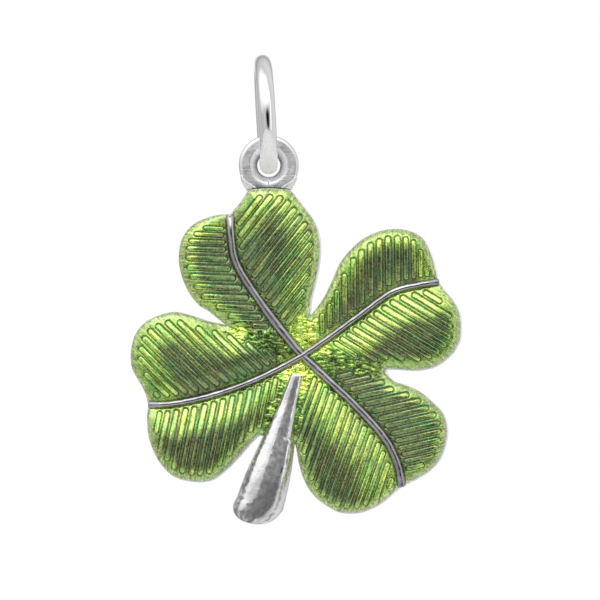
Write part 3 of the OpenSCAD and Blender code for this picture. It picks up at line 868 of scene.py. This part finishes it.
def jump_ring():
    """Ring made in the plane across X, turned about the upright line and then leaned."""
    around, sides = 240, 48
    points, frost_and_highlight = [], []
    for k in range(around):
        a = 2 * pi * k / around
        for j in range(sides):
            b = 2 * pi * j / sides
            wire = WIRE_D / 2 + 0.004 * noise((2.5 * cos(a), 2.5 * sin(a), b))
            r = (RING_D - WIRE_D) / 2 + wire * cos(b)
            points.append((wire * sin(b), r * cos(a), r * sin(a)))
            # Towards its lower end the ring is made matte and lighter than white, a painted
            # highlight
            start = 0.3 + 0.24 * abs(sin(b))
            frost_and_highlight.append(float(smooth((-sin(a) - start) / 0.34)))
    points = np.array(points)
    points[:, :2] = turned(*points[:, :2].T, RING_TURN)
    points[:, 2] -= (RING_D - 2 * WIRE_D) / 2
    points[:, ::2] = turned(*points[:, ::2].T, RING_LEAN)
    piece = new_piece("jump_ring_wire", MM * points, bridge(around, sides, ring=True),
                      ring_silver, {"frost_and_highlight": frost_and_highlight})
    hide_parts("jump_ring")
    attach(piece, "ring")
    return piece


# Materials

# Depth of the finest relief, in metres
BUMP_H = 0.00001


def colour(value):
    """A colour from one grey value, or from red, green and blue."""
    return (*value, 1.0) if isinstance(value, tuple) else (value, value, value, 1.0)


class Nodes:
    """Short ways to add and join the nodes of one tree."""

    def __init__(self, tree):
        self.tree = tree

    def add(self, kind, **settings):
        node = self.tree.nodes.new("ShaderNode" + kind)
        for key, value in settings.items():
            setattr(node, key, value)
        return node

    def put(self, value, socket):
        """Join an output to a socket, or set a number or a colour on it."""
        if isinstance(value, bpy.types.NodeSocket):
            self.tree.links.new(value, socket)
        else:
            socket.default_value = colour(value) if socket.type == "RGBA" else value

    def math(self, operation, a, b=0.0):
        node = self.add("Math", operation=operation)
        self.put(a, node.inputs[0])
        self.put(b, node.inputs[1])
        return node.outputs[0]

    def mix(self, share, a, b, blend="MIX"):
        node = self.add("Mix", data_type="RGBA", blend_type=blend)
        self.put(share, node.inputs[0])
        self.put(a, node.inputs[6])
        self.put(b, node.inputs[7])
        return node.outputs[2]

    def times(self, a, b):
        """Two colours multiplied."""
        return self.mix(1.0, a, b, "MULTIPLY")

    def ramp(self, value, stops):
        node = self.add("ValToRGB")
        points = node.color_ramp.elements
        while len(points) < len(stops):
            points.new(0.5)
        for point, (place, value_there) in zip(points, stops):
            point.position = place
            point.color = colour(value_there)
        self.put(value, node.inputs[0])
        return node.outputs[0]

    def spread(self, value, low, high, to_low=0.0, to_high=1.0):
        node = self.add("MapRange")
        for i, item in enumerate((value, low, high, to_low, to_high)):
            self.put(item, node.inputs[i])
        return node.outputs[0]

    def noise(self, place, scale, detail=3.0, roughness=0.5):
        node = self.add("TexNoise")
        for key, value in (("Vector", place), ("Scale", scale), ("Detail", detail),
                           ("Roughness", roughness)):
            self.put(value, node.inputs[key])
        return node.outputs["Fac"]

    def bump(self, height, strength, shader):
        """Fine relief of a surface, up to BUMP_H deep."""
        relief = self.add("Bump")
        relief.inputs["Strength"].default_value = strength
        relief.inputs["Distance"].default_value = BUMP_H
        self.put(height, relief.inputs["Height"])
        self.put(relief.outputs[0], shader.inputs["Normal"])

    def value_of(self, name):
        return self.add("Attribute", attribute_name=name).outputs["Fac"]

    def place(self):
        return self.add("TexCoord").outputs["Object"]


def hand_polish():
    """Node group of fine scratches every way, soft clouds of tarnish and small cast pits."""
    tree = bpy.data.node_groups.new("hand polish", "ShaderNodeTree")
    for way, kind, labels in (("INPUT", "Vector", ("Vector",)),
                              ("INPUT", "Float", ("Scratch size", "Cloud size", "Pits")),
                              ("OUTPUT", "Float", ("Height", "Scratches", "Clouds"))):
        for label in labels:
            tree.interface.new_socket(label, in_out=way, socket_type="NodeSocket" + kind)
    n = Nodes(tree)
    taken = tree.nodes.new("NodeGroupInput").outputs
    given = tree.nodes.new("NodeGroupOutput").inputs
    lines = 0.0
    for angle, stretch in ((0.4, 9.0), (1.7, 14.0), (2.6, 7.0)):
        turn = n.add("Mapping")
        n.put(taken["Vector"], turn.inputs["Vector"])
        turn.inputs["Rotation"].default_value = (0.3 * angle, angle, 0.2)
        turn.inputs["Scale"].default_value = (1.0, 1.0, stretch)
        scale = n.math("MULTIPLY", taken["Scratch size"], 1500.0)
        found = n.spread(n.noise(turn.outputs[0], scale, 2.0, 0.6), 0.58, 0.72)
        lines = n.math("MAXIMUM", lines, found)
    clouds = n.noise(taken["Vector"], n.math("MULTIPLY", taken["Cloud size"], 900.0), 4.0, 0.6)
    pits = n.noise(taken["Vector"], 5200.0, 2.0, 0.7)
    pits = n.math("MULTIPLY", n.spread(pits, 0.6, 0.75), taken["Pits"])
    height = n.math("SUBTRACT", n.math("MULTIPLY", clouds, 0.5), n.math("MULTIPLY", lines, 0.35))
    n.put(n.math("SUBTRACT", height, pits), given["Height"])
    n.put(lines, given["Scratches"])
    n.put(n.spread(clouds, 0.32, 0.68), given["Clouds"])
    return tree


def surface(name):
    """A material with its nodes and its Principled shader."""
    material = bpy.data.materials.new(name)
    material.use_nodes = True
    return (material, Nodes(material.node_tree),
            material.node_tree.nodes["Principled BSDF"])


def silver(name, light, dark, rough, rougher, scratch, cloud, pits, bump, painted_dark=None,
           rough_where_dark=0.0, frost_and_highlight=None):
    """Silver whose colour and gloss follow the polish, from light to dark and rough to rougher,
    with painted shade and painted dark reflections and with frost and painted highlights where a
    piece marks them.
    """
    material, n, shader = surface(name)
    shader.inputs["Metallic"].default_value = 1.0
    polish = n.add("Group", node_tree=hand_polish_group)
    n.put(n.place(), polish.inputs["Vector"])
    polish.inputs["Scratch size"].default_value = scratch
    polish.inputs["Cloud size"].default_value = cloud
    polish.inputs["Pits"].default_value = pits
    tint = n.mix(polish.outputs["Clouds"], light, dark)
    # Painted shade and painted dark reflections, mottled by the clouds
    if painted_dark:
        darkening = n.math("MULTIPLY", n.value_of("painted_dark"),
                      n.spread(polish.outputs["Clouds"], 0.0, 1.0, 0.72, 1.0))
        tint = n.mix(darkening, tint, painted_dark)
    gloss = n.math("ADD", n.math("MULTIPLY", polish.outputs["Scratches"], 0.3),
                   n.math("MULTIPLY", polish.outputs["Clouds"], 0.7))
    gloss = n.spread(gloss, 0.0, 1.0, rough, rougher)
    if rough_where_dark:
        gloss = n.math("ADD", gloss, n.math("MULTIPLY", n.value_of("painted_dark"), rough_where_dark))
    # Frost and painted highlights: lighter, rougher and less metallic
    if frost_and_highlight:
        tint = n.mix(n.value_of("frost_and_highlight"), tint, frost_and_highlight)
        gloss = n.math("ADD", gloss, n.math("MULTIPLY", n.value_of("frost_and_highlight"), 0.5))
        n.put(n.spread(n.value_of("frost_and_highlight"), 0.0, 1.0, 1.0, 0.1), shader.inputs["Metallic"])
    n.put(tint, shader.inputs["Base Color"])
    n.put(gloss, shader.inputs["Roughness"])
    n.bump(polish.outputs["Height"], bump, shader)
    return material


def enamel_material():
    """Clear green enamel over bright silver: darker in the grooves, partly by its depth and partly
    as painted shade, and lime where painted highlights lie.
    """
    material, n, shader = surface("green enamel")
    place = n.place()
    rib, plain, lit = n.value_of("rib"), n.value_of("plain"), n.value_of("lit")
    from_edge = n.value_of("from_edge")
    strokes = n.add("CombineXYZ")
    n.put(n.math("MULTIPLY", n.value_of("across"), 11.0), strokes.inputs[0])
    n.put(n.math("MULTIPLY", n.value_of("along"), 1.3), strokes.inputs[1])
    streaks = n.noise(strokes.outputs[0], 1.0, 3.0, 0.6)
    clouds = n.noise(place, 520.0, 3.0, 0.55)
    flecks = n.noise(place, 9500.0, 2.0, 0.75)
    # The first ramp is the enamel in painted shade, the second in painted highlight, mixed by the
    # painted light
    deep = n.ramp(rib, [(0.0, (0.045, 0.075, 0.034)), (0.3, (0.115, 0.155, 0.068)),
                        (0.6, (0.185, 0.245, 0.098)), (0.95, (0.24, 0.32, 0.125))])
    highlit_enamel = n.ramp(rib, [(0.0, (0.06, 0.1, 0.035)), (0.3, (0.23, 0.34, 0.07)),
                        (0.6, (0.42, 0.62, 0.115)), (0.95, (0.62, 0.88, 0.19))])
    enamel = n.mix(n.spread(lit, 0.05, 0.85), deep, highlit_enamel)
    cooler = n.mix(n.spread(clouds, 0.52, 0.7, 0.0, 0.5), enamel, (0.1, 0.27, 0.08))
    olive = n.mix(n.spread(clouds, 0.3, 0.45, 0.5, 0.0), cooler, (0.18, 0.19, 0.08))
    # Plain enamel round the middle, brighter where its painted highlight lies
    bare = n.ramp(rib, [(0.0, (0.05, 0.1, 0.02)), (0.45, (0.145, 0.25, 0.035)),
                        (0.9, (0.42, 0.64, 0.12))])
    brighter = n.ramp(rib, [(0.0, (0.4, 0.6, 0.05)), (0.4, (0.72, 1.05, 0.11)),
                            (0.9, (1.0, 1.35, 0.26))])
    bare = n.mix(n.spread(lit, 0.3, 1.0), bare, brighter)
    middle = n.mix(n.math("MULTIPLY", plain, 0.9), olive, bare)
    border = n.mix(n.spread(from_edge, 0.16, 0.36, 0.75, 0.0), middle, (0.5, 0.62, 0.26))
    edge = n.mix(n.spread(from_edge, 0.02, 0.07, 0.8, 0.0), border, (0.58, 0.62, 0.46))
    streaked = n.times(edge, n.ramp(streaks, [(0.33, 0.34), (0.66, 0.82)]))
    hues = n.noise(strokes.outputs[0], 0.45, 2.0, 0.6)
    hues = n.ramp(hues, [(0.36, (1.12, 1.04, 0.88)), (0.5, (0.98, 1.0, 1.04)),
                         (0.64, (0.7, 1.0, 0.92))])
    streaked = n.mix(n.spread(from_edge, 0.16, 0.4, 0.35, 1.0), streaked,
                     n.times(streaked, hues))
    grains = n.ramp(flecks, [(0.3, 0.25), (0.5, 0.75), (0.68, 1.0)])
    bright = n.times(n.times(streaked, grains), 2.42)
    specks = n.noise(place, 9000.0, 1.0, 0.5)
    warm = n.mix(n.spread(specks, 0.66, 0.72, 0.0, 0.7), bright, (0.5, 0.3, 0.1))
    cold = n.mix(n.spread(specks, 0.34, 0.28, 0.0, 0.6), warm, (0.1, 0.42, 0.26))
    n.put(cold, shader.inputs["Base Color"])
    n.put(n.spread(from_edge, 0.05, 0.32, 0.4, 0.78), shader.inputs["Metallic"])
    n.put(n.spread(flecks, 0.3, 0.7, 0.14, 0.26), shader.inputs["Roughness"])
    for key, value in (("Coat Weight", 0.5), ("Coat Roughness", 0.08), ("Coat IOR", 1.5)):
        shader.inputs[key].default_value = value
    n.bump(n.math("ADD", flecks, streaks), 0.7, shader)
    return material


hand_polish_group = hand_polish()
# In turn: the two colours, least and most roughness, size of the scratches and of the clouds,
# depth of the pits, strength of the relief
# After these: the colour of painted shade and painted dark reflections, the roughness added there,
# and the colour of frost and painted highlights
ring_silver = silver("ring silver", (0.95, 0.94, 0.95), (0.9, 0.89, 0.9),
                     0.05, 0.1, 0.8, 0.5, 0.02, 0.05, frost_and_highlight=(1.1, 1.08, 1.1))
polished_silver = silver("polished silver", (0.93, 0.93, 0.94), (0.8, 0.8, 0.82),
                         0.12, 0.22, 1.0, 2.2, 0.5, 0.3, painted_dark=(0.25, 0.25, 0.255),
                         rough_where_dark=0.26)
satin_silver = silver("satin silver", (0.95, 0.95, 0.96), (0.8, 0.8, 0.82),
                      0.26, 0.44, 0.7, 2.6, 0.3, 0.6, painted_dark=0.34, frost_and_highlight=1.0)
midrib_silver = silver("midrib silver", (0.5, 0.485, 0.525), (0.33, 0.32, 0.35),
                       0.1, 0.24, 1.0, 1.6, 0.4, 0.4, painted_dark=(0.22, 0.215, 0.23))
green_enamel = enamel_material()

# Pieces

leaf_tray()
for row, light in zip(FIELDS, PAINTED_LIGHT):
    enamel_field(*row, light)
midrib("upright_midrib", LOW, TOP, 0.0, 1.38)
midrib("level_midrib", LEFT, RIGHT, 0.015, 1.14)
stem()
neck()
eyelet()
jump_ring()

# Studio

bpy.context.scene.view_settings.view_transform = "Standard"

# Middle of the pendant, at which the camera looks
MIDDLE = Vector((0.00184, 0, -0.0114))

# Dark opening of the light tent, as seen from the pendant: middle across and up, half width,
# half height, all as sines of the angle
OPENING = (0.16, -0.13, 0.5, 0.62)
# Bright patches of the tent. Columns: direction, angles in degrees where it starts and where
# it is full, strength
GLOWS = [((0.0, -0.72, 0.69), 44, 12, 0.8), ((-0.66, -0.36, 0.64), 45, 15, 0.65)]
# Camera: lens and sensor in millimetres, width in metres of what it sees at the pendant
LENS = 300
SENSOR = 36
FIELD = 0.030
# Floor: its radius and how far below the ring it lies, in metres
FLOOR_R = 0.9
FLOOR_DROP = 0.55


def studio_world():
    """A light tent round the pendant, with the dark opening where the camera stands."""
    world = bpy.data.worlds.new("studio")
    world.use_nodes = True
    bpy.context.scene.world = world
    n = Nodes(world.node_tree)
    back = world.node_tree.nodes["Background"]
    direction = n.add("SeparateXYZ")
    n.put(n.add("TexCoord").outputs["Generated"], direction.inputs[0])
    x, y, z = direction.outputs
    tent = n.ramp(n.spread(y, -1.0, 1.0), [(0.0, 0.76), (0.4, 0.68), (0.7, 0.76), (0.84, 0.64),
                                          (0.89, 0.46), (0.94, 0.46), (0.98, 0.95)])
    tent = n.times(tent, n.ramp(n.spread(x, -0.8, 0.2), [(0.0, 0.76), (1.0, 1.0)]))
    aside = n.math("DIVIDE", n.math("SUBTRACT", x, OPENING[0]), OPENING[2])
    up = n.math("DIVIDE", n.math("SUBTRACT", z, OPENING[1]), OPENING[3])
    away = n.math("SQRT", n.math("ADD", n.math("POWER", aside, 2.0), n.math("POWER", up, 2.0)))
    away = n.math("MAXIMUM", away, n.spread(y, -0.6, -0.3, 0.0, 3.0))
    opening = n.ramp(n.math("DIVIDE", away, 2.0),
                     [(0.0, 0.01), (0.24, 0.015), (0.3, 0.46), (0.42, 0.74), (0.56, 0.92),
                      (0.75, 1.0)])
    lit = n.times(tent, opening)
    for towards, outer, inner, strength in GLOWS:
        facing = n.add("VectorMath", operation="DOT_PRODUCT")
        n.put(n.add("TexCoord").outputs["Generated"], facing.inputs[0])
        facing.inputs[1].default_value = Vector(towards).normalized()
        glow = n.spread(facing.outputs["Value"], cos(radians(outer)),
                        cos(radians(inner)), 0.0, strength)
        lit = n.mix(1.0, lit, glow, "ADD")
    seen = n.add("LightPath").outputs["Is Camera Ray"]
    n.put(n.mix(seen, lit, 1.0), back.inputs["Color"])


def softbox(name, place, size, power):
    """A lamp at a place from the pendant's middle, turned towards it and unseen itself."""
    light = bpy.data.lights.new(name, "AREA")
    light.shape = "RECTANGLE"
    light.size, light.size_y = size
    light.energy = power
    lamp = add_object(name, light)
    lamp.location = MIDDLE + Vector(place)
    lamp.rotation_mode = "QUATERNION"
    lamp.rotation_quaternion = (-Vector(place)).to_track_quat("-Z", "Y")
    lamp.visible_camera = False


studio_world()
softbox("top softbox", (-0.02, -0.223, 0.2), (0.16, 0.2), 0.13)
softbox("right softbox", (0.23, -0.19, 0.05), (0.06, 0.4), 0.05)

floor_mesh = bpy.data.meshes.new("studio_floor")
shape = bmesh.new()
bmesh.ops.create_circle(shape, cap_ends=True, segments=96, radius=FLOOR_R)
shape.to_mesh(floor_mesh)
shape.free()
floor = add_object("studio_floor", floor_mesh)
floor.location = (0, 0, -FLOOR_DROP)
pale, pale_nodes, pale_shader = surface("pale floor")
pale_nodes.put(pale_nodes.mix(pale_nodes.noise(pale_nodes.place(), 30.0), 0.82, 0.9),
               pale_shader.inputs["Base Color"])
pale_shader.inputs["Roughness"].default_value = 0.9
floor_mesh.materials.append(pale)

camera = add_object("camera", bpy.data.cameras.new("camera"))
camera.data.sensor_width = SENSOR
camera.data.lens = LENS
camera.location = MIDDLE + Vector((0, -FIELD * LENS / SENSOR, 0))
camera.rotation_euler = (pi / 2, 0, 0)
camera.data.clip_start = 0.01
bpy.context.scene.camera = camera
